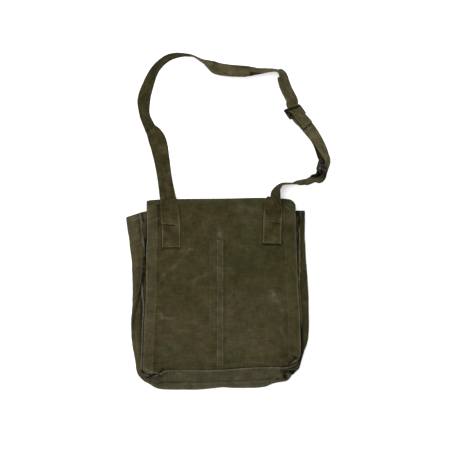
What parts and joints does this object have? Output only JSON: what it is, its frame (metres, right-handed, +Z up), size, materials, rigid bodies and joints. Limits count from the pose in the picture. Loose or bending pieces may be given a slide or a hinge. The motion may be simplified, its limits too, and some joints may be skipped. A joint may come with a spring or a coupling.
{
  "type": "shoulder bag",
  "caption": "Soft canvas shoulder bag lying flat on its flap, back panel up, with its webbing strap and metal slides laid out in a loop.",
  "frame": {"origin": "on the floor under the middle of the bag's body, on the underside of the flap", "axes": "+Y up the bag from its bottom seam towards the strap's loop, +Z up from the floor"},
  "size_m": [0.4298, 0.7064, 0.0552],
  "materials": {
    "canvas": "matte, faded",
    "webbing": "matte, ribbed",
    "metal": "dark, worn"
  },
  "bodies": {
    "root": {"back_and_flap": "canvas", "front_panel": "canvas", "gusset": "canvas", "centre_strip": "canvas", "strap_long": "webbing", "strap_short": "webbing", "slide_upper": "metal", "slide_lower": "metal"}
  },
  "joints": []
}
